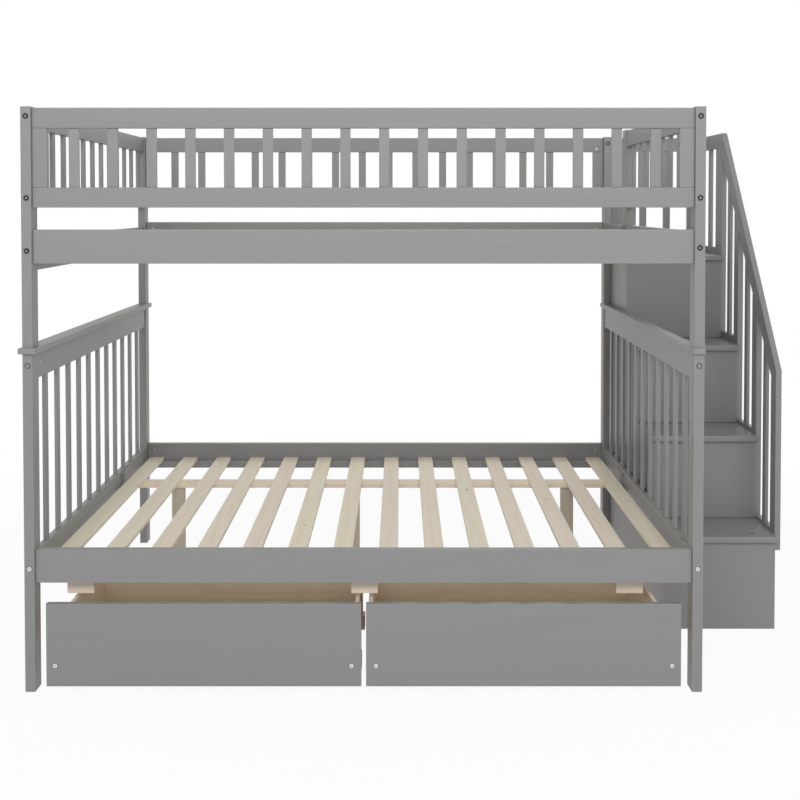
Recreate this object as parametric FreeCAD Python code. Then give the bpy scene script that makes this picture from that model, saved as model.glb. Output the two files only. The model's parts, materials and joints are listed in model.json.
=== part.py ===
import FreeCAD, Part
import math
import os

Vector = FreeCAD.Vector

# Bunk bed, full size below and above, with a storage stair across its right end.
# Millimetres. X runs along the bed, Y from its front to the wall, Z up from the floor.
# The sizes below are taken from the middle of the bed's length and from the front of its posts.

# bed frame
bed_half = 1000.0            # middle of the bed to the outer face of a post
bed_depth = 1448.0           # front face of the front posts to the back face of the back posts
bed_height = 1725.0
post_x, post_y = 31.0, 55.0
board = 22.0                 # thickness of rails
slat_thick = 12.0            # thickness of guard slats
panel_slat_thick = 10.0      # thickness of end-panel slats
slat_width = 30.0
ease = 2.0                   # bevel of the long edges of rails
post_ease, slat_ease = 3.0, 1.5

# end caps between the lower and the upper posts
cap_bottom, cap_top = 1001.0, 1019.0
cap_overhang = 10.0
cap_inner = {-1: 10.0, 1: 3.0}  # overhang towards the bed, left and right
cap_corner, cap_rim = 6.0, 3.0

# heights of the rails, bottom and top
end_top_rail = (921.0, 1001.0)
end_bottom_rail = (306.0, 406.0)
lower_side_rail = (321.0, 421.0)
upper_side_rail = (1265.5, 1365.5)
upper_left_end_rail = (1244.0, 1344.0)
upper_right_end_rail = (1260.0, 1360.0)
guard_top_rail = (1662.0, 1722.0)
guard_bottom_rail = (1430.0, 1489.0)

# slatted decks
cleat_height, cleat_thick, cleat_end = 30.0, 20.0, 9.0
deck_count, deck_pitch, deck_width, deck_thick, deck_play = 14, 142.8, 60.0, 12.0, 1.0
beam_y = (1013.0, 1090.0)
beam_thick = 14.0
bracket_plate, bracket_ledge = 14.0, 34.0
bracket_side, bracket_lip, bracket_drop = 12.0, 14.0, 6.0
leg_side = 45.0
leg_places = (-762.0, -74.0, 762.0)
block_places = (-849.0, 1.0, 795.0)
block_width, block_depth, block_height = 80.0, 40.0, 76.0

# guards and end panels
end_slats, end_slat_pitch = 11, 114.0
guard_slats, guard_pitch, guard_shift = 16, 113.7, 4.0
guard_stile = 43.0
end_guard_first, end_guard_pitch = 133.0, 109.0
end_guard_slats = {"left": 12, "right": 8}
entry_post = (966.0, 1024.0)
entry_post_extra = 10.0      # how much thicker it is than the corner posts

# stair
stair_x = (1000.0, 1378.0)
riser_y = (466.0, 666.0, 880.0, 1088.0)
tread_top = (321.0, 619.0, 913.0, 1240.0)
tread_thick, nosing, nosing_round = 20.0, 20.0, 7.0
panel = 18.0                 # thickness of side panels, risers, shelves and the back panel
frame_width = 40.0           # width of the stiles of the open side's face frame
frame_rail = 36.0
plinth = 60.0
back_rise = 20.0             # how far the back panel stands above the landing

# stair railing
rail_thick = 20.0
rail_post = 50.0
post_set_back = 12.0         # from a riser's face to the post beside it
post_drop = 55.0             # how far a railing post reaches below its tread
kick = (10.0, 12.0, 27.0, 28.0)
kick_drop = 40.0
hand_start = (478.0, 878.0)  # Y and Z of the handrail's top edge at its lower end
hand_end = (1104.0, 1722.0)
hand_width = 56.0            # across the slope
landing_rail = 57.0
landing_slats = (1183.0, 1285.0)
back_stile = 27.5
back_slats, back_slat_first, back_slat_pitch, back_slat_width = 4, 1042.5, 100.5, 29.0

# drawers, sizes from the bed's middle outwards
drawer_front_x = (7.0, 937.0)
drawer_front_z = (16.0, 263.0)
drawer_front_thick, front_corner = 18.0, 3.0
drawer_wall_x = (14.0, 873.0)
drawer_wall_z = (101.0, 258.0)
drawer_wall, drawer_depth = 12.0, 367.0
drawer_floor, drawer_floor_up, groove = 6.0, 6.0, 4.0
batten = 45.0
caster_x = (90.0, 854.0)
wheel_radius, wheel_width, wheel_bore = 20.0, 16.0, 3.05
wheel_lift = 0.5             # wheels clear the floor by this, so the frame's posts carry the bed
wheel_sides, axle_sides = 24, 12
axle_radius, fork_gap, fork_cheek = 3.0, 1.0, 2.0
cheek_y = (11.0, 7.0)        # half width of a cheek at its plate and at its foot
plate_x, plate_y, plate_thick = 56.0, 40.0, 3.0

# bolts
head_radius, head_height, ring = 7.0, 4.0, 1.2
shank_radius, hole_play = 3.0, 0.2
head_sides, shank_sides = 8, 6
post_bolt, rail_bolt, drawer_bolt = 96.0, 72.0, 50.0
guard_bolt = 45.0            # in the back right post, where the corner guard would start
post_bolt_z = (1697.0, 1458.0, 965.5, 365.0)
deck_bolt_z = {-1: 1303.0, 1: 1312.0}
rail_bolt_z = (393.0, 1339.5, 1475.0, 1676.0)     # clear of the bolts that cross them
drawer_bolt_x, drawer_bolt_z = (36.0, 911.0), 77.5

post_in = bed_half - post_x               # inner face of a post
end_x = bed_half - post_x / 2             # middle of an end rail's thickness
recess = (post_x - board) / 2             # set-back of an end rail from the posts' faces
side_y = 11.0                             # set-back of a side rail from the posts' front
parts = {}


def box(x, y, z):
    """A box from three (low, high) pairs, in any order."""
    low = Vector(min(x), min(y), min(z))
    return Part.makeBox(max(x) - low.x, max(y) - low.y, max(z) - low.z, low)


def length_edges(solid, axis):
    """Edges of a solid that run along X, Y or Z."""
    found = []
    for edge in solid.Edges:
        step = edge.Vertexes[-1].Point - edge.Vertexes[0].Point
        if abs(abs(getattr(step, axis)) - step.Length) < 1e-6:
            found.append(edge)
    return found


def lumber(x, y, z, bevel=ease):
    """A board whose long edges are eased by a small bevel."""
    solid = box(x, y, z)
    sizes = {"x": solid.BoundBox.XLength, "y": solid.BoundBox.YLength, "z": solid.BoundBox.ZLength}
    return solid.makeChamfer(bevel, length_edges(solid, max(sizes, key=sizes.get)))


def outline(points, x):
    """A plate with the given (Y, Z) outline, between two X planes."""
    corners = [Vector(min(x), y, z) for y, z in points]
    face = Part.Face(Part.makePolygon(corners + corners[:1]))
    return face.extrude(Vector(max(x) - min(x), 0, 0))


def about(centre, width):
    return (centre - width / 2, centre + width / 2)


def sided(side, low, high):
    """A range measured outwards from the bed's middle, on the left (-1) or the right (1)."""
    return tuple(sorted((side * low, side * high)))


def add(name, *solids):
    parts.setdefault(name, []).extend(solids)


def prism(seat, inward, radius, length, sides):
    """A many-sided stand-in for a cylinder, for what repeats often; its flats lie outside the radius."""
    first = Vector(0, 0, 1)
    second = inward.cross(first)
    reach = radius / math.cos(math.pi / sides)
    turns = [2 * math.pi * (step + 0.5) / sides for step in range(sides)]
    corners = [seat + first * (reach * math.cos(t)) + second * (reach * math.sin(t)) for t in turns]
    return Part.Face(Part.makePolygon(corners + corners[:1])).extrude(inward * length)


def bolt(seat, inward, length):
    """Flat-headed bolt; its head lies flush with the face at seat."""
    head = prism(seat, inward, head_radius, head_height, head_sides)
    shank = prism(seat + inward * head_height, inward, shank_radius, length - head_height, shank_sides)
    return head.fuse(shank)


def bolt_hole(seat, inward, length):
    """Counterbore for the head and a clearance hole for the shank."""
    bore = prism(seat, inward, head_radius + ring, head_height, head_sides)
    return bore.fuse(prism(seat, inward, shank_radius + hole_play, length + 2.0, shank_sides))


def drill(names, holes):
    """Cut the holes in every board of the named sub-parts that they reach."""
    for name in names:
        for place, solid in enumerate(parts[name]):
            near = [hole for hole in holes if hole.BoundBox.intersect(solid.BoundBox)]
            if near:
                parts[name][place] = solid.cut(near).Solids[0]


def frame_posts():
    corners = {"front": (0.0, post_y), "back": (bed_depth - post_y, bed_depth)}
    for row, y in corners.items():
        for side, end in ((-1, "left"), (1, "right")):
            x = sided(side, post_in, bed_half)
            add(f"{row}_{end}_lower_post", lumber(x, y, (0, cap_bottom), post_ease))
            add("upper_posts", lumber(x, y, (cap_top, bed_height), post_ease))


def end_caps():
    """Flat caps; the left one overhangs all round, the right one is flush beside the stair."""
    y = (-cap_overhang, bed_depth + cap_overhang)
    for side, outer in ((-1, bed_half + cap_overhang), (1, bed_half)):
        cap = box(sided(side, post_in - cap_inner[side], outer), y, (cap_bottom, cap_top))
        cap = cap.makeChamfer(cap_corner, length_edges(cap, "z"))
        rim = [edge for edge in cap.Edges if edge.BoundBox.ZLength < 0.01]
        add("end_caps", cap.makeChamfer(cap_rim, rim))


def lower_end_panels():
    span = (post_y, bed_depth - post_y)
    first = (bed_depth - end_slat_pitch * (end_slats - 1)) / 2
    for side, end in ((-1, "left"), (1, "right")):
        x = about(side * end_x, board)
        add(f"{end}_lower_end_rails", lumber(x, span, end_top_rail), lumber(x, span, end_bottom_rail))
        for place in range(end_slats):
            y = about(first + place * end_slat_pitch, slat_width)
            z = (end_bottom_rail[1], end_top_rail[0])
            add(f"{end}_lower_end_slats", lumber(about(side * end_x, panel_slat_thick), y, z, slat_ease))


def side_rails():
    x = (-post_in, post_in)
    for row, y in (("front", side_y), ("back", bed_depth - side_y - board)):
        add(f"lower_{row}_rail", lumber(x, (y, y + board), lower_side_rail))
        add(f"upper_{row}_rail", lumber(x, (y, y + board), upper_side_rail))
    span = (post_y, bed_depth - post_y)
    add("upper_end_rails", lumber(about(-end_x, board), span, upper_left_end_rail))
    add("upper_end_rails", lumber(about(end_x, board), span, upper_right_end_rail))


def slatted_deck(level, rail_bottom, end_rail_tops):
    """Cleats along the side rails, loose pine slats on them, and a flat beam under the slats."""
    front = side_y + board
    back = bed_depth - front
    deck_bottom = rail_bottom + cleat_height
    for y in ((front, front + cleat_thick), (back - cleat_thick, back)):
        add("slat_cleats", lumber((cleat_end - post_in, post_in - cleat_end), y, (rail_bottom, deck_bottom)))
    first = -deck_pitch * (deck_count - 1) / 2
    for place in range(deck_count):
        x = about(first + place * deck_pitch, deck_width)
        z = (deck_bottom, deck_bottom + deck_thick)
        add(f"{level}_bed_slats", box(x, (front + deck_play, back - deck_play), z))
    seat = bed_half - post_x + recess          # inner face of an end rail
    face = seat - bracket_plate
    beam_bottom = deck_bottom - beam_thick
    add("support_beams", lumber((-face, face), beam_y, (beam_bottom, deck_bottom)))
    y = (beam_y[0] - bracket_side, beam_y[1] + bracket_side)
    low = beam_bottom - bracket_lip
    for side, top in zip((-1, 1), end_rail_tops):
        plate = box(sided(side, face, seat), y, (low, top - bracket_drop))
        ledge = box(sided(side, seat - bracket_ledge, face), y, (low, beam_bottom))
        add("beam_brackets", plate.fuse(ledge).removeSplitter())


def deck_supports():
    """Pine legs under the lower beam and packing blocks behind the front cleat."""
    deck_bottom = lower_side_rail[0] + cleat_height
    middle = sum(beam_y) / 2
    for x in leg_places:
        leg = (about(x, leg_side), about(middle, leg_side), (0, deck_bottom - beam_thick))
        add("beam_legs", lumber(*leg))
    y = side_y + board + cleat_thick
    for x in block_places:
        z = (deck_bottom - block_height, deck_bottom)
        add("rail_blocks", lumber(about(x, block_width), (y, y + block_depth), z, slat_ease))


def long_guards():
    """Front and back guards of the upper bed: two rails, two stiles and sixteen slats."""
    x = (-post_in, post_in)
    infill = (guard_bottom_rail[1], guard_top_rail[0])
    first = guard_shift - guard_pitch * (guard_slats - 1) / 2
    for row, y in (("front", side_y), ("back", bed_depth - side_y - board)):
        add(f"{row}_guard_rails", lumber(x, (y, y + board), guard_top_rail))
        add(f"{row}_guard_rails", lumber(x, (y, y + board), guard_bottom_rail))
        for side in (-1, 1):
            stile = sided(side, post_in - guard_stile, post_in)
            add(f"{row}_guard_slats", lumber(stile, (y, y + board), infill))
        for place in range(guard_slats):
            slat = about(first + place * guard_pitch, slat_width)
            depth = about(y + board / 2, slat_thick)
            add(f"{row}_guard_slats", lumber(slat, depth, infill, slat_ease))


def end_guards():
    """Left guard over the whole end; right guard up to the entry post beside the stair head."""
    infill = (guard_bottom_rail[1], guard_top_rail[0])
    spans = {"left": (post_y, bed_depth - post_y), "right": (post_y, entry_post[0])}
    for side, end in ((-1, "left"), (1, "right")):
        x = about(side * end_x, board)
        for z in (guard_top_rail, guard_bottom_rail):
            add(f"{end}_guard_rails", lumber(x, spans[end], z))
        for place in range(end_guard_slats[end]):
            y = about(end_guard_first + place * end_guard_pitch, slat_width)
            slat = lumber(about(side * end_x, panel_slat_thick), y, infill, slat_ease)
            add(f"{end}_guard_slats", slat)
    standing = (upper_right_end_rail[1], bed_height)
    x = (post_in, bed_half + entry_post_extra)
    add("entry_post", lumber(x, entry_post, standing, post_ease))


def stepped_side():
    """Stepped outline in (Y, Z), behind the risers and under the treads."""
    back = bed_depth - panel
    points = [(back, 0), (riser_y[0] + panel, 0)]
    for step, top in enumerate(tread_top):
        front = riser_y[step] + panel
        points.append((front, top - tread_thick))
        following = riser_y[step + 1] + panel if step + 1 < len(riser_y) else back
        points.append((following, top - tread_thick))
    return points


def stair_carcase():
    inner, outer = stair_x
    between = (inner + panel, outer - panel)
    back = bed_depth - panel
    add("stair_inner_side", outline(stepped_side(), (inner, inner + panel)))
    floor = 0.0
    for step, top in enumerate(tread_top):
        y = riser_y[step]
        last = step + 1 == len(riser_y)
        under = top - tread_thick
        add("stair_risers", box(stair_x, (y, y + panel), (floor, under)))
        rear = back if last else riser_y[step + 1] + panel
        tread = box(stair_x, (y - nosing, rear), (under, top))
        front = [e for e in length_edges(tread, "x") if e.BoundBox.YMax < y - nosing + 0.01]
        add("stair_treads", tread.makeFillet(nosing_round, front))
        if not last:
            add("stair_shelves", box(between, (rear, back), (under, top)))
        floor = top
    add("stair_shelves", box(between, (riser_y[0] + panel, back), (plinth - panel, plinth)))
    add("stair_back_panel", box(stair_x, (back, bed_depth), (0, tread_top[-1] + back_rise)))
    return back


def stair_face_frame(back):
    """Stiles and rails of the side away from the bed, round six open shelves."""
    x = (stair_x[1] - panel, stair_x[1])
    fronts = [y + panel for y in riser_y]
    unders = [top - tread_thick for top in tread_top]
    rear = back - frame_width

    def piece(y, z):
        add("stair_face_frame", box(x, y, z))

    for step, front in enumerate(fronts):
        foot = 0.0 if step == 0 else tread_top[step - 1]
        piece((front, front + frame_width), (foot, unders[step]))
        lintel = unders[step] - frame_rail
        if step + 1 < len(fronts):
            piece((front + frame_width, fronts[step + 1]), (lintel, unders[step]))
            piece((fronts[step + 1], rear), (lintel, tread_top[step]))
        else:
            piece((front + frame_width, rear), (lintel, unders[step]))
    piece((rear, back), (0, unders[-1]))
    # one upright under each of the two lower shelves, with its partition behind it
    for front, floor, shelf in ((fronts[2], 0.0, 0), (fronts[3], tread_top[0], 1)):
        piece((front, front + frame_width), (floor, unders[shelf] - frame_rail))
        inside = (stair_x[0] + panel, stair_x[1] - panel)
        add("stair_shelves", box(inside, (front, front + panel), (max(floor, plinth), unders[shelf])))
    piece((fronts[0] + frame_width, fronts[2]), (0, plinth))
    piece((fronts[2] + frame_width, rear), (0, plinth))


def handrail_underside(y):
    """Height of the sloped handrail's lower edge."""
    rise = (hand_end[1] - hand_start[1]) / (hand_end[0] - hand_start[0])
    drop = hand_width * math.hypot(1, rise)
    return hand_start[1] - drop + rise * (y - hand_start[0])


def stair_railing():
    """Handrail up the slope, level rail on the landing, posts at the risers and slats between."""
    x = (stair_x[1], stair_x[1] + rail_thick)
    thin = about(sum(x) / 2, slat_thick)
    level = (hand_end[1] - landing_rail, hand_end[1])
    slope = [hand_start, hand_end, (hand_end[0], handrail_underside(hand_end[0])),
             (hand_start[0], handrail_underside(hand_start[0]))]
    add("stair_handrail", outline(slope, x))
    add("stair_handrail", box(x, (hand_end[0], bed_depth), level))

    def upright(name, depth, y, foot):
        """A post or slat cut to the slope at its top."""
        if y[0] >= hand_end[0]:
            add(name, box(depth, y, (foot, level[0])))
        else:
            top = [(y[0], handrail_underside(y[0])), (y[1], handrail_underside(y[1]))]
            add(name, outline([(y[0], foot)] + top + [(y[1], foot)], depth))

    starts = [y + post_set_back for y in riser_y[:-1]] + [hand_end[0]]
    for step, start in enumerate(starts):
        foot = tread_top[max(step - 1, 0)] - post_drop
        upright("stair_rail_posts", x, (start, start + rail_post), foot)
        bay = (start + rail_post, starts[step + 1] if step < 3 else bed_depth - rail_post)
        low = tread_top[step] + kick[step]
        add("stair_rail_slats", box(x, bay, (tread_top[step] - kick_drop, low)))
        for middle in ([sum(bay) / 2] if step < 3 else landing_slats):
            upright("stair_rail_slats", thin, about(middle, slat_width), low)
    end = (bed_depth - rail_post, bed_depth)
    upright("stair_rail_posts", x, end, tread_top[-1] - post_drop)


def landing_guard():
    """Guard across the back of the landing, standing on the back panel."""
    foot = tread_top[-1] + back_rise
    low = hand_end[1] - landing_rail
    y = (bed_depth - board, bed_depth)
    add("landing_guard", lumber((stair_x[0], stair_x[1]), y, (low, hand_end[1])))
    stile = (stair_x[0], stair_x[0] + back_stile)
    add("landing_guard", box(stile, (bed_depth - panel, bed_depth), (foot, low)))
    for place in range(back_slats):
        x = about(back_slat_first + place * back_slat_pitch, back_slat_width)
        add("landing_guard", lumber(x, about(bed_depth - panel / 2, slat_thick), (foot, low), slat_ease))


def caster(x, y, top):
    """Fixed caster: plate, two tapered cheeks and the axle between them, and its wheel."""
    axle_z = wheel_radius + wheel_lift
    frame = box(about(x, plate_x), about(y, plate_y), (top - plate_thick, top))
    inside = wheel_width / 2 + fork_gap
    broad, narrow = cheek_y
    cheek = [(y - broad, top - plate_thick), (y + broad, top - plate_thick),
             (y + narrow, axle_z - narrow), (y - narrow, axle_z - narrow)]
    for side in (-1, 1):
        cheek_x = sorted((x + side * inside, x + side * (inside + fork_cheek)))
        frame = frame.fuse(outline(cheek, cheek_x))
    reach = inside + fork_cheek
    across = Vector(1, 0, 0)
    # the axle's corners stay inside the flats of the bore, so the wheel turns freely
    shaft = axle_radius * math.cos(math.pi / axle_sides)
    axle = prism(Vector(x - reach, y, axle_z), across, shaft, 2 * reach, axle_sides)
    start = Vector(x - wheel_width / 2, y, axle_z)
    rim = wheel_radius * math.cos(math.pi / wheel_sides)
    wheel = prism(start, across, rim, wheel_width, wheel_sides)
    bore = prism(start, across, wheel_bore, wheel_width, axle_sides)
    return frame.fuse(axle).removeSplitter(), wheel.cut(bore)


def drawer(side, end):
    """Rolling drawer: painted front, pine walls on two battens, plywood floor, four casters."""
    front = box(sided(side, *drawer_front_x), (0, drawer_front_thick), drawer_front_z)
    front = front.makeFillet(front_corner, length_edges(front, "y"))
    near, far = drawer_wall_x
    length, rear = (drawer_front_thick, drawer_depth), (drawer_depth - drawer_wall, drawer_depth)
    walls = [box(sided(side, near, near + drawer_wall), length, drawer_wall_z),
             box(sided(side, far - drawer_wall, far), length, drawer_wall_z),
             box(sided(side, near + drawer_wall, far - drawer_wall), rear, drawer_wall_z)]
    low = drawer_wall_z[0] + drawer_floor_up
    sheet_x = sided(side, near + drawer_wall - groove, far - drawer_wall + groove)
    sheet_y = (drawer_front_thick - groove, drawer_depth - drawer_wall + groove)
    sheet = box(sheet_x, sheet_y, (low, low + drawer_floor))
    under = drawer_wall_z[0] - batten
    rows = {"front": drawer_front_thick + batten / 2, "rear": drawer_depth - batten / 2}
    battens = [lumber(sided(side, *drawer_front_x), about(y, batten), (under, drawer_wall_z[0]))
               for y in rows.values()]
    add(f"{end}_drawer_front", front.cut(sheet))
    add(f"{end}_drawer_box", *[wall.cut(sheet) for wall in walls], *battens)
    add(f"{end}_drawer_floor", sheet)
    for row, y in rows.items():
        for which, x in zip(("inner", "outer"), caster_x):
            frame, wheel = caster(side * x, y, under)
            add(f"{end}_drawer_casters", frame)
            add(f"{end}_{row}_{which}_wheel", wheel)
    holes = []
    for x in drawer_bolt_x:
        seat = Vector(side * x, 0, drawer_bolt_z)
        add(f"{end}_drawer_bolts", bolt(seat, Vector(0, 1, 0), drawer_bolt))
        holes.append(bolt_hole(seat, Vector(0, 1, 0), drawer_bolt))
    drill([f"{end}_drawer_front", f"{end}_drawer_box"], holes)


def frame_bolts():
    """Bolts through the posts: along Y into the end rails, along X into the side rails."""
    places = []
    for side in (-1, 1):
        for z in post_bolt_z + (deck_bolt_z[side],):
            places.append((Vector(side * end_x, 0, z), Vector(0, 1, 0), post_bolt))
            if side < 0 or z < guard_bottom_rail[0]:
                places.append((Vector(side * end_x, bed_depth, z), Vector(0, -1, 0), post_bolt))
            else:
                places.append((Vector(side * end_x, entry_post[1], z), Vector(0, -1, 0), post_bolt))
        for z in rail_bolt_z:
            for y in (side_y + board / 2, bed_depth - side_y - board / 2):
                places.append((Vector(side * bed_half, y, z), Vector(-side, 0, 0), rail_bolt))
    seat = Vector(end_x, bed_depth - post_y, post_bolt_z[0])
    places.append((seat, Vector(0, 1, 0), guard_bolt))
    for place in places:
        add("frame_bolts", bolt(*place))
    boards = [name for name in parts if name.endswith(("_post", "_posts", "_rail", "_rails"))]
    drill([name for name in boards if not name.startswith("stair")], [bolt_hole(*place) for place in places])


frame_posts()
end_caps()
lower_end_panels()
side_rails()
slatted_deck("lower", lower_side_rail[0], (end_bottom_rail[1], end_bottom_rail[1]))
slatted_deck("upper", upper_side_rail[0], (upper_left_end_rail[1], upper_right_end_rail[1]))
deck_supports()
long_guards()
end_guards()
stair_face_frame(stair_carcase())
stair_railing()
landing_guard()
drawer(-1, "left")
drawer(1, "right")
frame_bolts()

# The origin goes to the middle of the whole footprint, on the floor.
origin = Vector((stair_x[1] + rail_thick - bed_half - cap_overhang) / 2, bed_depth / 2, 0)
os.makedirs("parts", exist_ok=True)
facets = 0
for name, solids in sorted(parts.items()):
    shape = Part.makeCompound(solids) if len(solids) > 1 else solids[0]
    shape.translate(Vector() - origin)
    shape.exportStep(f"parts/{name}.step")
    count = len(shape.tessellate(0.2)[1])
    facets += count
    print(f"{name}: {len(solids)} solids, {count} facets, valid {shape.isValid()}")
print(f"{len(parts)} sub-parts, {facets} facets, origin {origin}")
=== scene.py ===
import math
import bpy
import numpy as np
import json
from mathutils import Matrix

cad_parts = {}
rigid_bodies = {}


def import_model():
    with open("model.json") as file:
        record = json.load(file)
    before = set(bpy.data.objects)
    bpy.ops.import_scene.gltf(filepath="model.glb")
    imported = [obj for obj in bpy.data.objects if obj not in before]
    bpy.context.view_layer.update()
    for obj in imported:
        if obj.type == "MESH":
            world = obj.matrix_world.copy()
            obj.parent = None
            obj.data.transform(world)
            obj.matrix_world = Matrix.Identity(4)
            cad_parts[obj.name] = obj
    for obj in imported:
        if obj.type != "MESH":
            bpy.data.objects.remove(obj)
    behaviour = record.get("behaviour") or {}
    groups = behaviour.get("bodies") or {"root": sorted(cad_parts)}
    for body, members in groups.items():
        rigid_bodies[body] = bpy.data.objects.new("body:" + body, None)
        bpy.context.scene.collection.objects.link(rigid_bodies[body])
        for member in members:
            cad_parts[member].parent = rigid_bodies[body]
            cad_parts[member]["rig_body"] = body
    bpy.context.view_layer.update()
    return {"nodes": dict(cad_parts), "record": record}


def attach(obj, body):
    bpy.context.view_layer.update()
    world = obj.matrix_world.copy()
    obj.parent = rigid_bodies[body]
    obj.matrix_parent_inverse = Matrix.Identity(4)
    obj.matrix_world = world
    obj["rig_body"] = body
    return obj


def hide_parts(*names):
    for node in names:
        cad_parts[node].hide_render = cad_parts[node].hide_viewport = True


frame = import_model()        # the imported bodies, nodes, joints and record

scene = bpy.context.scene
scene.view_settings.view_transform = "Standard"
print("frame loaded,", len(frame["nodes"]), "nodes")


class Signal:
    # one output of a shader node; arithmetic on it adds Math nodes

    def __init__(self, finish, socket):
        self.finish = finish
        self.socket = socket

    def combine(self, operation, first, second=0.0):
        return self.finish.node("ShaderNodeMath", {"operation": operation}, {0: first, 1: second})

    def __add__(self, other):
        return self.combine("ADD", self, other)

    def __radd__(self, other):
        return self.combine("ADD", other, self)

    def __sub__(self, other):
        return self.combine("SUBTRACT", self, other)

    def __rsub__(self, other):
        return self.combine("SUBTRACT", other, self)

    def __mul__(self, other):
        return self.combine("MULTIPLY", self, other)

    def __rmul__(self, other):
        return self.combine("MULTIPLY", other, self)

    def __pow__(self, power):
        return self.combine("POWER", self, power)

    def sine(self):
        return self.combine("SINE", self)

    def clamped(self):
        return self.finish.node("ShaderNodeClamp", {}, {0: self})

    def between(self, low, high):
        # 0 below low, 1 above high, smooth between them
        return self.finish.node("ShaderNodeMapRange", {"interpolation_type": "SMOOTHSTEP"},
                                {"Value": self, "From Min": low, "From Max": high})


class Finish:
    # the node tree of one material or of the world; node() adds any node to it

    def __init__(self, owner):
        owner.use_nodes = True
        self.owner = owner
        self.tree = owner.node_tree
        self.tree.nodes.clear()

    def node(self, kind, settings=None, inputs=None, output=0):
        # settings come first, because some of them change which sockets the node has
        made = self.tree.nodes.new(kind)
        for key, value in (settings or {}).items():
            setattr(made, key, value)
        for key, value in (inputs or {}).items():
            if isinstance(value, Signal):
                self.tree.links.new(value.socket, made.inputs[key])
            else:
                made.inputs[key].default_value = value
        return Signal(self, made.outputs[output] if made.outputs else None)

    def place(self):
        return self.node("ShaderNodeTexCoord", output="Object")

    def attribute(self, name, output="Fac"):
        return self.node("ShaderNodeAttribute", {"attribute_name": name}, output=output)

    def noise(self, vector, scale=1.0, detail=3.0, rough=0.5, bend=0.0):
        return self.node("ShaderNodeTexNoise", {}, {"Vector": vector, "Scale": scale, "Detail": detail,
                                                    "Roughness": rough, "Distortion": bend})

    def stretched(self, vector, scale):
        return self.node("ShaderNodeMapping", {}, {"Vector": vector, "Scale": scale})

    def mixColour(self, factor, first, second, blend="MIX"):
        return self.node("ShaderNodeMix", {"data_type": "RGBA", "blend_type": blend},
                         {0: factor, 6: first, 7: second}, output=2)

    def bump(self, height, strength, distance):
        return self.node("ShaderNodeBump", {},
                         {"Strength": strength, "Distance": distance, "Height": height})

    def surface(self, **sockets):
        names = {key.replace("_", " "): value for key, value in sockets.items()}
        shader = self.node("ShaderNodeBsdfPrincipled", {}, names)
        self.node("ShaderNodeOutputMaterial", {}, {"Surface": shader})
        return self.owner


def newFinish(name):
    return Finish(bpy.data.materials.new(name))


def grey(value):
    return (value, value, value, 1.0)


# Every board carries three attributes: "grain" is a place measured along, across and through the
# board, "edge" is 1 on its eased edges, and "tone" is one value of its own from 0 to 1.

# In the finishes, ...Shade, ...Rough and ...Bump say how much a pattern counts in the colour, the
# roughness and the height; patterns are in cells per metre, relief in metres.
paint = {
    # the lighter edge grey, and the shares and range that lay it on, are a painted highlight along the eased
    # edges
    "deep": grey(0.262), "plain": grey(0.298), "worn": grey(0.42),
    "figure": (2.6, 42.0, 42.0), "fibre": (14.0, 520.0, 520.0), "spray": 620.0, "rings": 110.0,
    "wander": 16.0, "figureShade": 0.8, "fibreShade": 0.35, "boardShade": 0.5,
    "rubbed": 0.75, "highlightFrom": 0.3, "rubTo": 1.1, "highlightSpread": 0.35,
    "rough": 0.46, "figureRough": 0.12, "sprayRough": 0.08, "edgeRough": 0.06,
    "relief": 0.0006, "bump": 0.32, "figureBump": 0.35, "ringBump": 0.15, "fibreBump": 0.35,
    "sprayBump": 0.15,
}


def paintedWood():
    # gray satin paint: the year rings and fibres of the wood show through as soft long ridges, the
    # spray leaves a fine peel, and eased edges carry a patchy painted highlight, a little lighter
    f = newFinish("paintedWood")
    grain = f.attribute("grain", "Vector")
    edge = f.attribute("edge")
    figure = f.noise(f.stretched(grain, paint["figure"]), detail=4.0, rough=0.55, bend=0.4)
    fibre = f.noise(f.stretched(grain, paint["fibre"]), detail=2.0)
    spray = f.noise(f.place(), scale=paint["spray"], detail=1.0)
    across = f.node("ShaderNodeSeparateXYZ", {}, {0: grain}, output=1)
    ring = (across * paint["rings"] + figure * paint["wander"]).sine() * 0.5 + 0.5
    shade = (0.5 + (figure - 0.5) * paint["figureShade"] + (fibre - 0.5) * paint["fibreShade"]
             + (f.attribute("tone") - 0.5) * paint["boardShade"]).clamped()
    # painted highlight along the eased edges, patchy with the figure
    worn = (edge * (figure + paint["highlightSpread"])).between(paint["highlightFrom"], paint["rubTo"])
    rubbed = worn * paint["rubbed"]
    colour = f.mixColour(shade, paint["deep"], paint["plain"])
    rough = (paint["rough"] + (figure - 0.5) * paint["figureRough"] + (spray - 0.5) * paint["sprayRough"]
             - edge * paint["edgeRough"])
    height = (figure * paint["figureBump"] + ring * paint["ringBump"] + fibre * paint["fibreBump"]
              + spray * paint["sprayBump"])
    return f.surface(Base_Color=f.mixColour(rubbed, colour, paint["worn"]), Roughness=rough,
                     Normal=f.bump(height, paint["bump"], paint["relief"]))


pine = {
    "pale": (0.88, 0.81, 0.645, 1), "pink": (0.88, 0.785, 0.665, 1), "late": (0.75, 0.65, 0.49, 1),
    "knot": (0.30, 0.18, 0.09, 1), "rings": 150.0, "wander": 26.0, "drift": (1.4, 9.0, 9.0),
    "fibre": (12.0, 620.0, 620.0), "pores": (60.0, 1900.0, 1900.0), "knots": (2.3, 9.0, 9.0),
    "lineSharp": 2.0, "lineShade": 0.34, "fibreShade": 0.55, "knotShade": 0.8, "knotCore": 0.4,
    "rough": 0.62, "fibreRough": 0.18, "lineRough": 0.05,
    "relief": 0.0006, "bump": 0.35, "lineBump": 0.25, "fibreBump": 0.5, "poreBump": 0.25,
}


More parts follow.
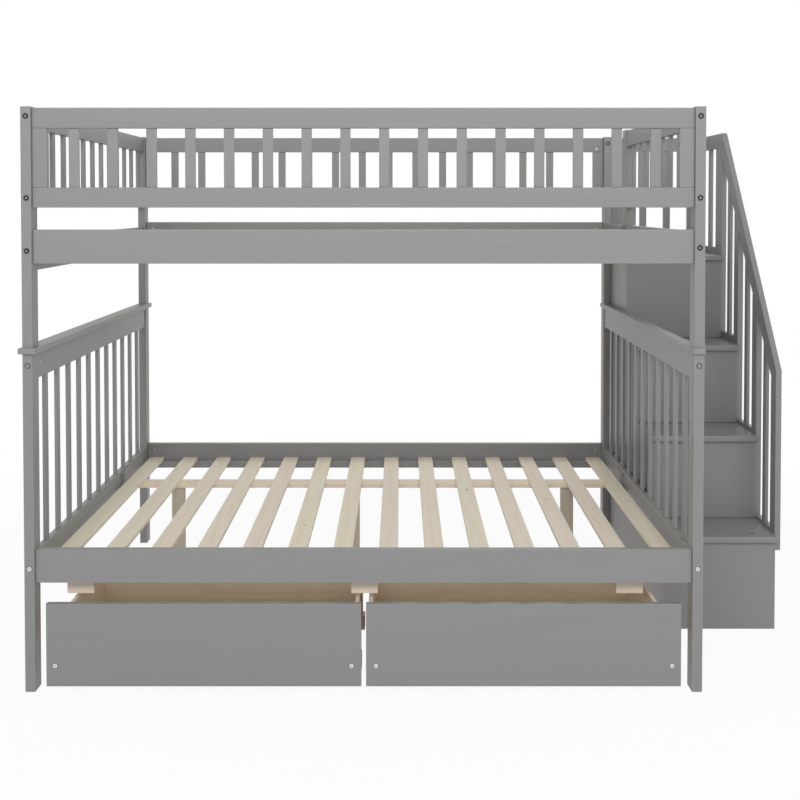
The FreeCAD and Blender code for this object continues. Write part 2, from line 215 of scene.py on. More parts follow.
def barePine(name, stain, knotSize):
    # planed pine: late-wood lines along the board that wander and bend, knots, fine open pores; the
    # ring lines are the sine of the place across the board plus a slow drift
    f = newFinish(name)
    grain = f.attribute("grain", "Vector")
    drift = f.noise(f.stretched(grain, pine["drift"]), detail=2.0)
    across = f.node("ShaderNodeSeparateXYZ", {}, {0: grain}, output=1)
    lines = ((across * pine["rings"] + drift * pine["wander"]).sine() * 0.5 + 0.5) ** pine["lineSharp"]
    fibre = f.noise(f.stretched(grain, pine["fibre"]), detail=3.0)
    pores = f.noise(f.stretched(grain, pine["pores"]), detail=1.0)
    cell = f.node("ShaderNodeTexVoronoi", {}, {"Vector": f.stretched(grain, pine["knots"]), "Scale": 1.0})
    knot = 1.0 - cell.between(knotSize * pine["knotCore"], knotSize)
    ground = f.mixColour(f.attribute("tone"), pine["pale"], pine["pink"])
    late = (lines * pine["lineShade"] + (fibre - 0.5) * pine["fibreShade"]).clamped()
    knotted = f.mixColour(knot * pine["knotShade"], f.mixColour(late, ground, pine["late"]), pine["knot"])
    rough = pine["rough"] + (fibre - 0.5) * pine["fibreRough"] - lines * pine["lineRough"]
    height = lines * pine["lineBump"] + fibre * pine["fibreBump"] + pores * pine["poreBump"]
    return f.surface(Base_Color=f.mixColour(1.0, knotted, stain, "MULTIPLY"), Roughness=rough,
                     Normal=f.bump(height, pine["bump"], pine["relief"]))


zinc = {
    # on the bolts high on the bed, the dark plate and the metal and roughness that go with it are a painted
    # dark reflection
    "bright": grey(0.80), "cloudy": grey(0.55), "dark": grey(0.022), "socket": grey(0.50),
    "clouds": 90.0, "cloudFrom": 0.5, "cloudTo": 0.75, "marks": 1400.0, "markCoarse": 0.7, "markShade": 0.2,
    "metal": 0.9, "dullMetal": 0.3, "darkReflectionMetal": 0.5,
    "rough": 0.30, "markRough": 0.18, "dullRough": 0.25, "darkReflectionRough": 0.15, "relief": 0.0003, "bump": 0.12,
}


def zincPlate(name, grime):
    # zinc plate with fine turning marks, a cloudy sheen and some grime; "tone" darkens it, as a painted dark
    # reflection that grows with the bolt's height on the bolts and by a fixed amount elsewhere; "edge" marks
    # the floor of a socket
    f = newFinish(name)
    cloud = f.noise(f.place(), scale=zinc["clouds"], detail=3.0)
    marks = f.noise(f.place(), scale=zinc["marks"], detail=2.0, rough=zinc["markCoarse"])
    black = f.attribute("tone")
    dull = cloud.between(zinc["cloudFrom"], zinc["cloudTo"]) * grime
    plate = f.mixColour(dull + (marks - 0.5) * zinc["markShade"], zinc["bright"], zinc["cloudy"])
    # painted dark reflection: the plate of a high bolt goes dark with its tone
    plate = f.mixColour(black, plate, zinc["dark"])
    # the socket floor is painted a fixed mid grey: a painted highlight in a dark head, painted shade in a
    # bright one
    return f.surface(Base_Color=f.mixColour(f.attribute("edge"), plate, zinc["socket"]),
                     Metallic=zinc["metal"] - dull * zinc["dullMetal"] - black * zinc["darkReflectionMetal"],
                     Roughness=(zinc["rough"] + (marks - 0.5) * zinc["markRough"] + dull * zinc["dullRough"]
                                + black * zinc["darkReflectionRough"]),
                     Normal=f.bump(marks, zinc["bump"], zinc["relief"]))


nylon = {
    "black": grey(0.028), "grey": grey(0.055), "flow": 60.0, "swirl": 1.2, "scuffs": 900.0,
    "flowShade": 0.6, "scuffShade": 0.4, "rough": 0.48, "scuffRough": 0.2, "relief": 0.0004, "bump": 0.15,
}


def mouldedNylon():
    # black moulded wheels: faint flow marks and a scuffed tread
    f = newFinish("mouldedNylon")
    flow = f.noise(f.place(), scale=nylon["flow"], detail=2.0, bend=nylon["swirl"])
    scuff = f.noise(f.place(), scale=nylon["scuffs"], detail=2.0)
    shade = flow * nylon["flowShade"] + scuff * nylon["scuffShade"]
    return f.surface(Base_Color=f.mixColour(shade, nylon["black"], nylon["grey"]),
                     Roughness=nylon["rough"] + (scuff - 0.5) * nylon["scuffRough"],
                     Normal=f.bump(scuff, nylon["bump"], nylon["relief"]))


greyPaint = paintedWood()
slatPine = barePine("slatPine", stain=grey(1.0), knotSize=0.05)
boxPine = barePine("boxPine", stain=(1.0, 0.945, 0.95, 1), knotSize=0.03)
# the legs' pine is a darker copy of the pine: painted shade for the legs under the bed
shadedLegPine = barePine("shadedLegPine", stain=grey(0.74), knotSize=0.03)
sheetPly = barePine("sheetPly", stain=(0.84, 0.76, 0.64, 1), knotSize=0.02)
boltZinc = zincPlate("boltZinc", grime=0.5)
casterZinc = zincPlate("casterZinc", grime=1.0)
wheelNylon = mouldedNylon()
print("finishes made")


reading = {"decimals": 6, "flat": 1e-5}      # how alike two corners are, and how flat an end face is


def solidsOf(node):
    # a node's separate solids as (points, triangles); one ends where every edge has met its twin
    mesh = frame["nodes"][node].data
    points = np.empty(len(mesh.vertices) * 3, np.float32)
    mesh.vertices.foreach_get("co", points)
    points, index = np.unique(points.reshape(-1, 3).round(reading["decimals"]), axis=0, return_inverse=True)
    corner = np.empty(len(mesh.loops), np.int32)
    mesh.loops.foreach_get("vertex_index", corner)
    triangles = index.reshape(-1)[corner].reshape(-1, 3)
    solids, waiting, start = [], set(), 0
    for place, (a, b, c) in enumerate(triangles.tolist()):
        for edge in ((a, b), (b, c), (c, a)):
            if edge[::-1] in waiting:
                waiting.remove(edge[::-1])
            else:
                waiting.add(edge)
        if not waiting:
            used, local = np.unique(triangles[start:place + 1], return_inverse=True)
            solids.append((points[used].astype(float), local.reshape(-1, 3)))
            start = place + 1
    return solids


def boxesOf(node):
    # the low and the high corner of each solid
    return [(points.min(axis=0), points.max(axis=0)) for points, _ in solidsOf(node)]


def profileOf(solid, axis):
    # corners, in turn, of the flat face at the solid's high end along axis
    points, triangles = solid
    high = points[:, axis].max()
    flat = triangles[(points[triangles][:, :, axis] > high - reading["flat"]).all(axis=1)].tolist()
    sides = {(a, b) for t in flat for a, b in zip(t, t[1:] + t[:1])}
    follow = dict(side for side in sides if side[::-1] not in sides)
    loop = [min(follow)]
    while follow[loop[-1]] != loop[0]:
        loop.append(follow[loop[-1]])
    return points[loop][:, [(axis + 1) % 3, (axis + 2) % 3]]


# segments of a rounded corner and of a rounded end, and a corner's radius over an end's
rounding = {"corner": 2, "end": 2, "share": 1.15}


def roundedOutline(corners, radii, steps):
    # each corner becomes an arc that touches both its sides: centre plus radius times the outward
    # normal, turned evenly from the normal of the side before to that of the side after
    sides = np.roll(corners, -1, axis=0) - corners
    sides /= np.linalg.norm(sides, axis=1)[:, None]
    after = np.stack([sides[:, 1], -sides[:, 0]], axis=1)
    before = np.roll(after, 1, axis=0)
    turn = np.arctan2(before[:, 0] * after[:, 1] - before[:, 1] * after[:, 0], (before * after).sum(axis=1))
    bend = np.sign(turn)
    radii = np.broadcast_to(np.asarray(radii, float), len(corners))
    centre = corners - (bend * radii / (1 + np.cos(turn)))[:, None] * (before + after)
    angle = np.arctan2(before[:, 1], before[:, 0])[:, None] + turn[:, None] * np.linspace(0, 1, steps + 1)
    normals = np.stack([np.cos(angle), np.sin(angle)], axis=2)
    points = centre[:, None] + (bend * radii)[:, None, None] * normals
    return points.reshape(-1, 2), normals.reshape(-1, 2)


def gridFaces(rings, around):
    # quads of a grid that closes round its second parameter
    index = np.arange(rings * around).reshape(rings, around)
    beside = np.roll(index, -1, axis=1)
    return np.stack([index[:-1], beside[:-1], beside[1:], index[1:]], axis=-1).reshape(-1, 4).tolist()


def closedTube(grid):
    # a grid of points, rings by around, with a face over each end
    rings, around = grid.shape[:2]
    ends = [list(range(around))[::-1], list(range((rings - 1) * around, rings * around))]
    return grid.reshape(-1, 3), gridFaces(rings, around) + ends


def slab(corners, axis, low, high, soft, radii=None):
    # outline times thickness: one parameter runs along the rounded outline, the other from end to
    # end, where the outline draws in by soft * (1 - sin a) at soft * (1 - cos a) from the end; wear is
    # 1 in the middle of each rounding and 0 where it meets a flat face
    ends, turns = rounding["end"], rounding["corner"]
    outline, normals = roundedOutline(corners, soft * rounding["share"] if radii is None else radii, turns)
    a = np.linspace(0, math.pi / 2, ends + 1)
    inset = soft * (1 - np.sin(a))
    rise = soft * (1 - np.cos(a))
    inset = np.concatenate([inset, inset[::-1]])
    height = np.concatenate([low + rise, high - rise[::-1]])
    flat = outline[None] - inset[:, None, None] * normals[None]
    grid = np.empty(flat.shape[:2] + (3,))
    grid[..., (axis + 1) % 3] = flat[..., 0]
    grid[..., (axis + 2) % 3] = flat[..., 1]
    grid[..., axis] = height[:, None]
    wear = np.zeros(flat.shape[:2])
    wear[ends:-ends] = np.tile(np.sin(np.linspace(0, math.pi, turns + 1)), len(corners))
    wear[1:ends] = 1.0
    wear[-ends:-1] = 1.0
    return (*closedTube(grid), wear.ravel())


def board(box, soft, radii=None, axis=None):
    # a board of rectangular section, along its longest side unless axis is given
    low, high = box
    axis = int(np.argmax(high - low)) if axis is None else axis
    b, c = (axis + 1) % 3, (axis + 2) % 3
    corners = np.array([(low[b], low[c]), (high[b], low[c]), (high[b], high[c]), (low[b], high[c])])
    return slab(corners, axis, low[axis], high[axis], soft, radii)


turning = {"upright": 0.9, "hexMargin": 1.01}      # an axis this steep is upright; slack for a hexagon


def revolved(profile, start, direction, around, hexTo=0.0):
    # profile of (radius, height) turned about an axis; inside radius hexTo it is a hexagon, whose
    # radius at angle t is its apothem over the cosine of t folded into one sixth of a turn
    profile = np.asarray(profile, float)
    t = np.linspace(0, 2 * math.pi, around, endpoint=False)
    folded = (t % (math.pi / 3)) - math.pi / 6
    radius = profile[:, :1] * np.where(profile[:, :1] <= hexTo, 1 / np.cos(folded)[None], 1.0)
    along = np.asarray(direction, float)
    leaning = abs(along[2]) < turning["upright"]
    side = np.cross(along, (0.0, 0.0, 1.0)) if leaning else np.array((1.0, 0.0, 0.0))
    side /= np.linalg.norm(side)
    other = np.cross(along, side)
    spoke = np.cos(t)[None, :, None] * side + np.sin(t)[None, :, None] * other
    return closedTube(np.asarray(start)[None, None] + along * profile[:, 1][:, None, None]
                      + radius[..., None] * spoke)


# a cutter's start outside the face, its sides, and how near a kept corner stays
cutting = {"lead": 0.002, "around": 32, "same": 1e-5}


def drilled(shape, pockets):
    # the shape less round pockets, each (start, direction, profile of (radius, depth)); corners it
    # keeps keep their wear
    made = [revolved(profile, start, direction, cutting["around"]) for start, direction, profile in pockets]
    starts = np.cumsum([0] + [len(points) for points, _ in made])
    cutFaces = [[i + offset for i in face] for (_, faces), offset in zip(made, starts) for face in faces]
    body, tool = bpy.data.meshes.new("body"), bpy.data.meshes.new("tool")
    body.from_pydata(shape[0].tolist(), [], shape[1])
    tool.from_pydata(np.concatenate([points for points, _ in made]).tolist(), [], cutFaces)
    held = [bpy.data.objects.new(mesh.name, mesh) for mesh in (body, tool)]
    for thing in held:
        scene.collection.objects.link(thing)
    cut = held[0].modifiers.new("cut", "BOOLEAN")
    cut.operation, cut.solver, cut.object = "DIFFERENCE", "EXACT", held[1]
    result = held[0].evaluated_get(bpy.context.evaluated_depsgraph_get()).to_mesh()
    points = np.empty(len(result.vertices) * 3, np.float32)
    result.vertices.foreach_get("co", points)
    faces = [list(polygon.vertices) for polygon in result.polygons]
    for thing, mesh in zip(held, (body, tool)):
        bpy.data.objects.remove(thing)
        bpy.data.meshes.remove(mesh)
    points = points.reshape(-1, 3).astype(float)
    away = np.linalg.norm(points[:, None] - shape[0][None], axis=2)
    return points, faces, np.where(away.min(axis=1) < cutting["same"], shape[2][away.argmin(axis=1)], 0.0)


def camel(node):
    # stair_inner_side becomes stairInnerSide
    first, *rest = node.split("_")
    return first + "".join(word.capitalize() for word in rest)


grainShift = 40.0      # how far, in metres, a board's grain is moved to make it its own


def piece(name, shapes, material, slot, nodes=(), smooth=40.0):
    # one object from several shapes, with each shape's grain, edge and tone as attributes; a shape is
    # (points, faces, edge values), and its tone is drawn unless it gives one
    mesh = bpy.data.meshes.new(name)
    points, faces, grain, edge, tone = [], [], [], [], []
    draw = np.random.default_rng(sum(map(ord, name)))
    offset = 0
    for shapePoints, shapeFaces, wear, *given in shapes:
        low, high = shapePoints.min(axis=0), shapePoints.max(axis=0)
        order = np.argsort(low - high, kind="stable")             # longest side first
        shift = draw.uniform(-grainShift, grainShift, 3)
        grain.append(shapePoints[:, order] - (low + high)[order] / 2 + shift)
        edge.append(wear)
        tone.append(np.full(len(shapePoints), given[0] if given else draw.uniform(0, 1)))
        points.append(shapePoints)
        faces += [[i + offset for i in face] for face in shapeFaces]
        offset += len(shapePoints)
    mesh.from_pydata(np.concatenate(points).tolist(), [], faces)
    for label, kind, field, values in (("grain", "FLOAT_VECTOR", "vector", grain),
                                       ("edge", "FLOAT", "value", edge), ("tone", "FLOAT", "value", tone)):
        stored = mesh.attributes.new(label, kind, "POINT").data
        stored.foreach_set(field, np.concatenate(values).astype(np.float32).ravel())
    mesh.polygons.foreach_set("use_smooth", np.ones(len(faces), bool))
    mesh.set_sharp_from_angle(angle=math.radians(smooth))
    mesh.update()
    made = bpy.data.objects.new(name, mesh)
    scene.collection.objects.link(made)
    mesh.materials.append(material)
    weighted = made.modifiers.new("flatFaces", "WEIGHTED_NORMAL")
    weighted.keep_sharp = True
    if nodes:
        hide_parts(*nodes)
    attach(made, frame["nodes"][nodes[0]]["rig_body"] if nodes else "frame")


def slotOf(node):
    # the material slot that the record gives the node
    return next(part["material_slot"] for part in frame["record"]["subparts"] if part["node"] == node)


def woodPiece(node, shapes, material):
    # the piece that takes the place of one node
    piece(camel(node), shapes, material, slotOf(node), [node])


def plain(shape, tone=0.0):
    # a metal or moulded shape, whose tone is given instead of drawn
    return (*shape, np.zeros(len(shape[0])), tone)


# Lengths are metres. Of the bolts, headFrom, land, shoulder, tip, socketFloor, socketPoint and
# socketMouth are shares of a radius or depth, as dimple, bowl and land are of the nuts.
bolts = {
    "head": 0.0070, "headFrom": 0.95, "sink": 0.0012, "land": 0.80, "shoulder": 0.93, "bevel": 0.0003,
    "rim": 0.0011, "socket": 0.0028, "socketDeep": 0.0024, "socketFloor": 0.4, "socketPoint": 1.08,
    "socketMouth": 1.12, "shank": 0.0030, "tip": 0.7, "tipLong": 0.001, "ring": 0.0006, "flare": 0.0032,
    # the two heights at the end of this line set where a bolt's painted dark reflection starts and where it
    # is full
    "deeper": 0.0020, "around": 30, "brightBelow": 0.45, "reflectionDarkAbove": 1.14,
}
nuts = {
    "radius": 0.0050, "play": 0.0003, "sink": 0.0004, "length": 0.0100, "fromTip": 0.0120, "dimple": 0.12,
    "dimpleDeep": 0.0011, "bowl": 0.45, "land": 0.88, "rim": 0.0006, "tone": 0.35, "around": 24,
}


def boltSeats(node):
    # (seat, direction, head height, length) of each bolt: its head is at the end that reaches wider
    seats = []
    for points, _ in solidsOf(node):
        low, high = points.min(axis=0), points.max(axis=0)
        axis = int(np.argmax(high - low))
        middle = (low + high) / 2
        spread = np.linalg.norm(np.delete(points - middle, axis, axis=1), axis=1)
        along = points[:, axis]
        wide = along[spread > bolts["head"] * bolts["headFrom"]]
        atLow = wide.min() < middle[axis]
        seat, direction = middle.copy(), np.zeros(3)
        seat[axis] = low[axis] if atLow else high[axis]
        direction[axis] = 1.0 if atLow else -1.0
        seats.append((seat, direction, wide.max() - wide.min(), high[axis] - low[axis]))
    return seats


def boltShape(seat, direction, head, length):
    # flat head, sunk in its pocket, with eased rim, hexagon socket and shank; bolts low on the bed
    # are bright, those high on it dark, a painted dark reflection that grows with height
    r, top, hexagon, shank = bolts["head"], bolts["sink"], bolts["socket"], bolts["shank"]
    deep, bevel = bolts["socketDeep"], bolts["bevel"]
    profile = [(hexagon * bolts["socketFloor"], top + deep * bolts["socketPoint"]), (hexagon, top + deep),
               (hexagon, top + bevel), (hexagon * bolts["socketMouth"], top), (r * bolts["land"], top),
               (r * bolts["shoulder"], top + bevel), (r, top + bolts["rim"]), (r, head), (shank, head),
               (shank, length - bolts["tipLong"]), (shank * bolts["tip"], length)]
    points, faces = revolved(profile, seat, direction, bolts["around"], hexTo=hexagon * turning["hexMargin"])
    # marks the socket floor, painted a fixed mid grey as a painted highlight in dark heads and painted shade
    # in bright ones
    socket = np.repeat(np.arange(len(profile)) < 2, bolts["around"]).astype(float)
    # painted dark reflection: none below the lower height, full above the upper one
    dark = (seat[2] - bolts["brightBelow"]) / (bolts["reflectionDarkAbove"] - bolts["brightBelow"])
    return points, faces, socket, min(max(dark, 0.0), 1.0)


def headPocket(seat, direction, head):
    # a countersink at 45 degrees down to just round the head, then straight past it
    mouth, bore, lead = bolts["head"] + bolts["flare"], bolts["head"] + bolts["ring"], cutting["lead"]
    return seat, direction, [(mouth + lead, -lead), (bore, mouth - bore), (bore, head + bolts["deeper"])]


def roundPocket(start, direction, radius, depth):
    # a straight hole that starts a little outside the face
    return start, direction, [(radius, -cutting["lead"]), (radius, depth)]


def pocketed(box, shape, pockets):
    # the board of that box with those pockets that open on one of its faces
    low, high = box
    reach = 0.0005
    own = [pocket for pocket in pockets
           if (pocket[0] > low - reach).all() and (pocket[0] < high + reach).all()]
    return drilled(shape, own) if own else shape


def nutPlaces(seats, rails, bedMiddle):
    # (place, direction into the rail) of each bolt's barrel nut, on the face turned to the bed
    places = []
    for seat, direction, head, length in seats:
        middle = seat + direction * (length - nuts["fromTip"])
        across = 1 - int(np.argmax(np.abs(direction)))             # the rail's thickness, X or Y
        inward = -np.sign(middle[across] - bedMiddle[across])
        for low, high in rails:
            if (middle > low).all() and (middle < high).all():
                start, into = middle.copy(), np.zeros(3)
                start[across] = high[across] if inward > 0 else low[across]
                into[across] = -inward
                places.append((start, into))
    return places


def nutShape(start, into):
    # barrel nut: a short cylinder with an eased rim and a dimple, just under the face
    r, top = nuts["radius"], nuts["sink"]
    profile = [(r * nuts["dimple"], top + nuts["dimpleDeep"]), (r * nuts["bowl"], top),
               (r * nuts["land"], top), (r, top + nuts["rim"]), (r, top + nuts["length"])]
    return plain(revolved(profile, start, into, nuts["around"]), tone=nuts["tone"])


edges = {"post": 0.0034, "postEnd": 0.0007, "rail": 0.0022, "slat": 0.0016, "panel": 0.0010, "raw": 0.0008,
         "cap": 0.0026}

postNodes = [f"{row}_{end}_lower_post" for row in ("front", "back") for end in ("left", "right")]
railNodes = ["left_lower_end_rails", "right_lower_end_rails", "lower_front_rail", "lower_back_rail",
             "upper_front_rail", "upper_back_rail", "upper_end_rails", "front_guard_rails",
             "back_guard_rails", "left_guard_rails", "right_guard_rails"]
slatNodes = ["left_lower_end_slats", "right_lower_end_slats", "front_guard_slats", "back_guard_slats",
             "left_guard_slats", "right_guard_slats", "landing_guard"]

posts = [box for node in postNodes for box in boxesOf(node)]
bedMiddle = (np.min([low for low, _ in posts], axis=0) + np.max([high for _, high in posts], axis=0)) / 2
seats = boltSeats("frame_bolts")
nutSeats = nutPlaces(seats, [box for node in railNodes for box in boxesOf(node)], bedMiddle)
pockets = [headPocket(*seat[:3]) for seat in seats]
pockets += [roundPocket(start, into, nuts["radius"] + nuts["play"], nuts["length"])
            for start, into in nutSeats]

for node in postNodes + ["upper_posts", "entry_post"]:
    woodPiece(node, [pocketed(box, board(box, edges["postEnd"], edges["post"]), pockets)
                     for box in boxesOf(node)], greyPaint)
for node in railNodes:
    woodPiece(node, [pocketed(box, board(box, edges["rail"]), pockets) for box in boxesOf(node)],
              greyPaint)
for node in slatNodes:
    woodPiece(node, [board(box, edges["slat"]) for box in boxesOf(node)], greyPaint)
woodPiece("slat_cleats", [board(box, edges["rail"]) for box in boxesOf("slat_cleats")], greyPaint)
woodPiece("end_caps", [board(box, edges["cap"]) for box in boxesOf("end_caps")], greyPaint)
piece("frameBolts", [boltShape(*seat) for seat in seats] + [nutShape(*seat) for seat in nutSeats], boltZinc,
      "bolt_steel", ["frame_bolts"])
print("bed frame made,", len(seats), "bolts and", len(nutSeats), "nuts")


def cutBoards(node, axis, soft):
    # boards with slanted or stepped outlines, from their flat faces
    return [slab(profileOf(solid, axis), axis, solid[0][:, axis].min(), solid[0][:, axis].max(), soft)
            for solid in solidsOf(node)]


for node, material in (("lower_bed_slats", slatPine), ("upper_bed_slats", slatPine),
                       ("support_beams", boxPine), ("beam_legs", shadedLegPine), ("rail_blocks", boxPine)):
    woodPiece(node, [board(box, edges["raw"]) for box in boxesOf(node)], material)
woodPiece("beam_brackets", cutBoards("beam_brackets", 1, edges["panel"]), greyPaint)
print("decks made")

treads = {"nose": 0.0045, "back": 0.0008, "end": 0.0006}
risers = {"foot": 0.0016, "side": 0.0016}      # shadow gaps over a tread and beside the rail
# land, neck, recessFloor and recessSides are shares; inset and back place a screw on its tread
screws = {
    "head": 0.0050, "sink": 0.0003, "land": 0.9, "rim": 0.0003, "neck": 0.5, "long": 0.0030,
    "recess": 0.0013, "deep": 0.0016, "recessFloor": 0.3, "recessSides": 0.8, "lip": 0.0001,
    "inset": 0.074, "back": 0.040, "play": 0.0003, "pocket": 0.0032, "tone": 1.0, "around": 24,
}


def treadShape(box):
    # a tread: its front long edges are rounded, its back ones crisp
    low, high = box
    corners = np.array([(low[1], low[2]), (high[1], low[2]), (high[1], high[2]), (low[1], high[2])])
    return slab(corners, 0, low[0], high[0], treads["end"],
                [treads["nose"], treads["back"], treads["back"], treads["nose"]])


def screwPlaces(box):
    # two screws down into the riser under each tread
    low, high = box
    return [np.array((x, low[1] + screws["back"], high[2]))
            for x in (low[0] + screws["inset"], high[0] - screws["inset"])]


def screwShape(place):
    # countersunk head just under the surface, with a hexagonal recess
    r, top, recess, deep = screws["head"], screws["sink"], screws["recess"], screws["deep"]
    profile = [(recess * screws["recessFloor"], top + deep), (recess, top + deep * screws["recessSides"]),
               (recess, top + screws["lip"]), (r * screws["land"], top), (r, top + screws["rim"]),
               (r * screws["neck"], top + screws["long"])]
    shape = revolved(profile, place, (0, 0, -1), screws["around"], hexTo=recess * turning["hexMargin"])
    return plain(shape, tone=screws["tone"])


treadBoxes = boxesOf("stair_treads")
screwSeats = [place for box in treadBoxes for place in screwPlaces(box)]
screwPockets = [roundPocket(place, (0, 0, -1), screws["head"] + screws["play"], screws["pocket"])
                for place in screwSeats]
woodPiece("stair_treads", [pocketed(box, treadShape(box), screwPockets) for box in treadBoxes], greyPaint)
piece("treadScrews", [screwShape(place) for place in screwSeats], boltZinc, "bolt_steel")
footGap, sideGap = np.array((0, 0, risers["foot"])), np.array((risers["side"], 0, 0))
woodPiece("stair_risers", [board((low + footGap, high - sideGap), edges["panel"])
                           for low, high in boxesOf("stair_risers")], greyPaint)
for node in ("stair_shelves", "stair_back_panel", "stair_face_frame"):
    woodPiece(node, [board(box, edges["panel"]) for box in boxesOf(node)], greyPaint)
for node, soft in (("stair_inner_side", "panel"), ("stair_handrail", "rail"), ("stair_rail_posts", "slat"),
                   ("stair_rail_slats", "slat")):
    woodPiece(node, cutBoards(node, 0, edges[soft]), greyPaint)
print("stair made")

wheel = {"bore": 0.00305, "hub": 0.0065, "draft": 0.0008, "web": 0.0035, "rim": 0.0045, "lip": 0.0004,
         "shoulder": 0.0022, "turn": (0.0006, 0.0009), "crown": 0.0028, "around": 48}
# foot and top are half widths of a cheek; screw is the head's profile below screwHigh
caster = {
    "plate": 0.0030, "plateCorner": 0.0040, "plateEase": 0.0007, "sheet": 0.0020, "cheekEase": 0.0004,
    "gap": 0.0010, "top": 0.0110, "topRound": 0.0006, "foot": 0.0068, "footRound": 0.0058, "rivet": 0.0030,
    "rivetDimple": 0.0012, "rivetAround": 20, "screwIn": 0.0070, "screwHigh": 0.0016, "screwAround": 16,
    "screw": [(0.0008, 0.0009), (0.0011, 0.0), (0.0022, 0.0), (0.0034, 0.0013)], "tone": 0.15,
}


def wheelShape(box):
    # a moulded wheel: rounded tread, recessed web on both sides, hub flush with the rim; its profile
    # runs from the bore over one side and the tread to the other side, and closes along the bore
    low, high = box
    centre, half, radius = (low + high) / 2, (high[0] - low[0]) / 2, (high[2] - low[2]) / 2
    hub, draft, web, rim = wheel["hub"], wheel["draft"], half - wheel["web"], radius - wheel["rim"]
    turnIn, turnDown = wheel["turn"]
    side = [(wheel["bore"], half), (hub, half), (hub + draft, web), (rim - draft, web),
            (rim, half - wheel["lip"]), (radius - wheel["shoulder"], half),
            (radius - turnIn, half - turnDown), (radius, half - wheel["crown"])]
    profile = [(r, -h) for r, h in side] + side[::-1]
    points, faces = revolved(profile, centre, (1, 0, 0), wheel["around"])
    first = np.arange(wheel["around"])
    last = first + (len(profile) - 1) * wheel["around"]
    bore = np.stack([last, np.roll(last, -1), np.roll(first, -1), first], axis=1).tolist()
    return plain((points, faces[:-2] + bore))


def casterShapes(box, wheelBox):
    # pressed plate with rounded corners, two round-ended cheeks, riveted axle, four screw heads
    low, high = box
    under = high[2] - caster["plate"]
    plate = (np.array([low[0], low[1], under]), high)
    shapes = [board(plate, caster["plateEase"], caster["plateCorner"], axis=2)]
    axle = (wheelBox[0] + wheelBox[1]) / 2
    inside = (wheelBox[1][0] - wheelBox[0][0]) / 2 + caster["gap"]
    foot, top = caster["foot"], caster["top"]
    outline = np.array([(axle[1] - foot, axle[2] - foot), (axle[1] + foot, axle[2] - foot),
                        (axle[1] + top, under), (axle[1] - top, under)])
    radii = [caster["footRound"], caster["footRound"], caster["topRound"], caster["topRound"]]
    outside = inside + caster["sheet"]
    for side in (-1, 1):
        span = sorted(axle[0] + side * reach for reach in (inside, outside))
        shapes.append(slab(outline, 0, *span, caster["cheekEase"], radii))
    dimple, rivet, width = caster["rivetDimple"], caster["rivet"], 2 * outside
    shapes.append(revolved([(dimple, 0.0), (rivet, 0.0), (rivet, width), (dimple, width)],
                           axle - (outside, 0, 0), (1, 0, 0), caster["rivetAround"]))
    head = caster["screw"] + [(caster["screw"][-1][0], caster["screwHigh"])]
    screwFoot = under - caster["screwHigh"]
    for x in (low[0] + caster["screwIn"], high[0] - caster["screwIn"]):
        for y in (low[1] + caster["screwIn"], high[1] - caster["screwIn"]):
            shapes.append(revolved(head, (x, y, screwFoot), (0, 0, 1), caster["screwAround"]))
    return [plain(shape, tone=caster["tone"]) for shape in shapes]


for end in ("left", "right"):
    front, walls, sheet = f"{end}_drawer_front", f"{end}_drawer_box", f"{end}_drawer_floor"
    drawerSeats = boltSeats(f"{end}_drawer_bolts")
    drawerPockets = [headPocket(*seat[:3]) for seat in drawerSeats]
    woodPiece(front, [pocketed(box, board(box, edges["rail"]), drawerPockets) for box in boxesOf(front)],
              greyPaint)
    woodPiece(walls, [board(box, edges["raw"]) for box in boxesOf(walls)], boxPine)
    woodPiece(sheet, [board(box, edges["raw"] / 2) for box in boxesOf(sheet)], sheetPly)
    piece(camel(f"{end}_drawer_bolts"), [boltShape(*seat) for seat in drawerSeats], boltZinc, "bolt_steel",
          [f"{end}_drawer_bolts"])
    casters = boxesOf(f"{end}_drawer_casters")
    shapes = []
    for node in [f"{end}_{row}_{which}_wheel" for row in ("front", "rear") for which in ("inner", "outer")]:
        wheelBox = boxesOf(node)[0]
        piece(camel(node), [wheelShape(wheelBox)], wheelNylon, "wheel_plastic", [node], smooth=50.0)
        away = [np.linalg.norm((low + high - wheelBox[0] - wheelBox[1])[:2]) for low, high in casters]
        shapes += casterShapes(casters[int(np.argmin(away))], wheelBox)
    piece(camel(f"{end}_drawer_casters"), shapes, casterZinc, "caster_steel", [f"{end}_drawer_casters"])
print("drawers made")

# The camera of the photograph: nearly level, its horizon well above the middle of the picture.
camera = {"place": (-0.0868, -3.8369, 1.4361), "pitch": 1.5, "lens": 48.0, "sensor": 36.0, "shift": -0.2082}

view = bpy.data.objects.new("camera", bpy.data.cameras.new("camera"))
scene.collection.objects.link(view)
view.location = camera["place"]
view.rotation_euler = (math.radians(90 - camera["pitch"]), 0, 0)
view.data.lens = camera["lens"]
view.data.sensor_width = camera["sensor"]
view.data.shift_y = camera["shift"]
scene.camera = view

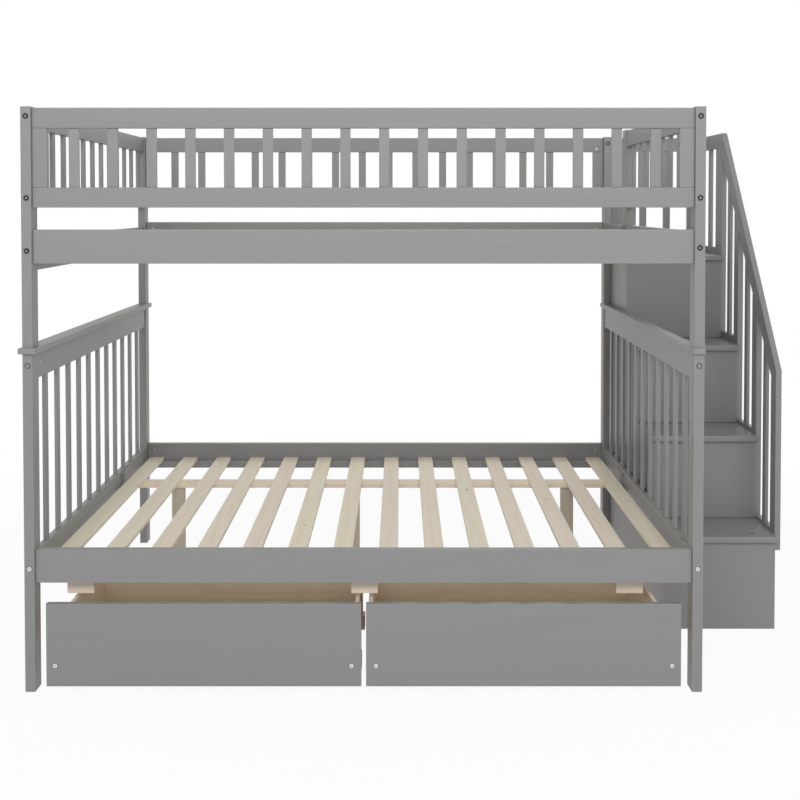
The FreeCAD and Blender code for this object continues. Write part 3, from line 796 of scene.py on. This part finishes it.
lamps = {
    "key": {"place": (0.0, -5.0, 3.6), "aim": (0.0, 0.0, 0.9), "size": (7.0, 1.6), "watts": 162},
    "left": {"place": (-5.0, 1.2, 1.8), "aim": (0.0, 0.2, 0.7), "size": (2.5, 2.5), "watts": 22},
    "right": {"place": (5.0, 2.2, 1.8), "aim": (0.3, 0.2, 0.7), "size": (2.5, 2.5), "watts": 28},
    "rear": {"place": (1.6, 5.0, 3.6), "aim": (0.0, 0.0, 0.8), "size": (4.0, 2.0), "watts": 42},
}
for name, setting in lamps.items():
    light = bpy.data.lights.new(name, "AREA")
    light.shape = "RECTANGLE"
    light.size, light.size_y = setting["size"]
    light.energy = setting["watts"]
    lamp = bpy.data.objects.new(name, light)
    scene.collection.objects.link(lamp)
    lamp.location = setting["place"]
    aim = np.array(setting["aim"]) - np.array(setting["place"])
    lamp.rotation_euler = (math.atan2(math.hypot(aim[0], aim[1]), -aim[2]), 0, math.atan2(-aim[0], aim[1]))

studio = {"ambient": 0.42, "card": 0.88, "speckle": 0.92, "speckles": 30.0, "shadow": 0.07, "near": 1.7,
          "far": 3.4, "half": 14.0}


def seenDirectly(finish):
    # 1 for camera, mirror and glass rays
    rays = [finish.node("ShaderNodeLightPath", output=name)
            for name in ("Is Camera Ray", "Is Glossy Ray", "Is Transmission Ray")]
    return (rays[0] + rays[1] + rays[2]).clamped()


def paleFloor():
    # near-white card: rays that see it directly get mostly plain white, so only a soft shadow shows,
    # and that share fades to plain white with the distance from the bed
    f = newFinish("paleFloor")
    speckle = f.noise(f.place(), scale=studio["speckles"])
    away = f.node("ShaderNodeVectorMath", {"operation": "LENGTH"}, {0: f.place()}, output="Value")
    share = studio["shadow"] * (1 - away.between(studio["near"], studio["far"]))
    card = f.node("ShaderNodeBsdfDiffuse", {},
                  {"Color": f.mixColour(speckle, grey(studio["card"]), grey(studio["speckle"]))})
    white = f.node("ShaderNodeEmission", {}, {"Color": grey(1.0), "Strength": 1.0})
    mixed = f.node("ShaderNodeMixShader", {}, {0: seenDirectly(f) * (1 - share), 1: card, 2: white})
    f.node("ShaderNodeOutputMaterial", {}, {"Surface": mixed})
    return f.owner


floorMesh = bpy.data.meshes.new("studioFloor")
half = studio["half"]
floorCorners = [(-half, -half, 0), (half, -half, 0), (half, half, 0), (-half, half, 0)]
floorMesh.from_pydata(floorCorners, [], [(0, 1, 2, 3)])
floorMesh.materials.append(paleFloor())
floor = bpy.data.objects.new("studioFloor", floorMesh)
scene.collection.objects.link(floor)

scene.world = bpy.data.worlds.new("studio")
sky = Finish(scene.world)
ambient = sky.node("ShaderNodeBackground", {}, {"Color": grey(1.0), "Strength": studio["ambient"]})
backdrop = sky.node("ShaderNodeBackground", {}, {"Color": grey(1.0), "Strength": 1.0})
shown = sky.node("ShaderNodeMixShader", {}, {0: seenDirectly(sky), 1: ambient, 2: backdrop})
sky.node("ShaderNodeOutputWorld", {}, {"Surface": shown})
print("studio made")
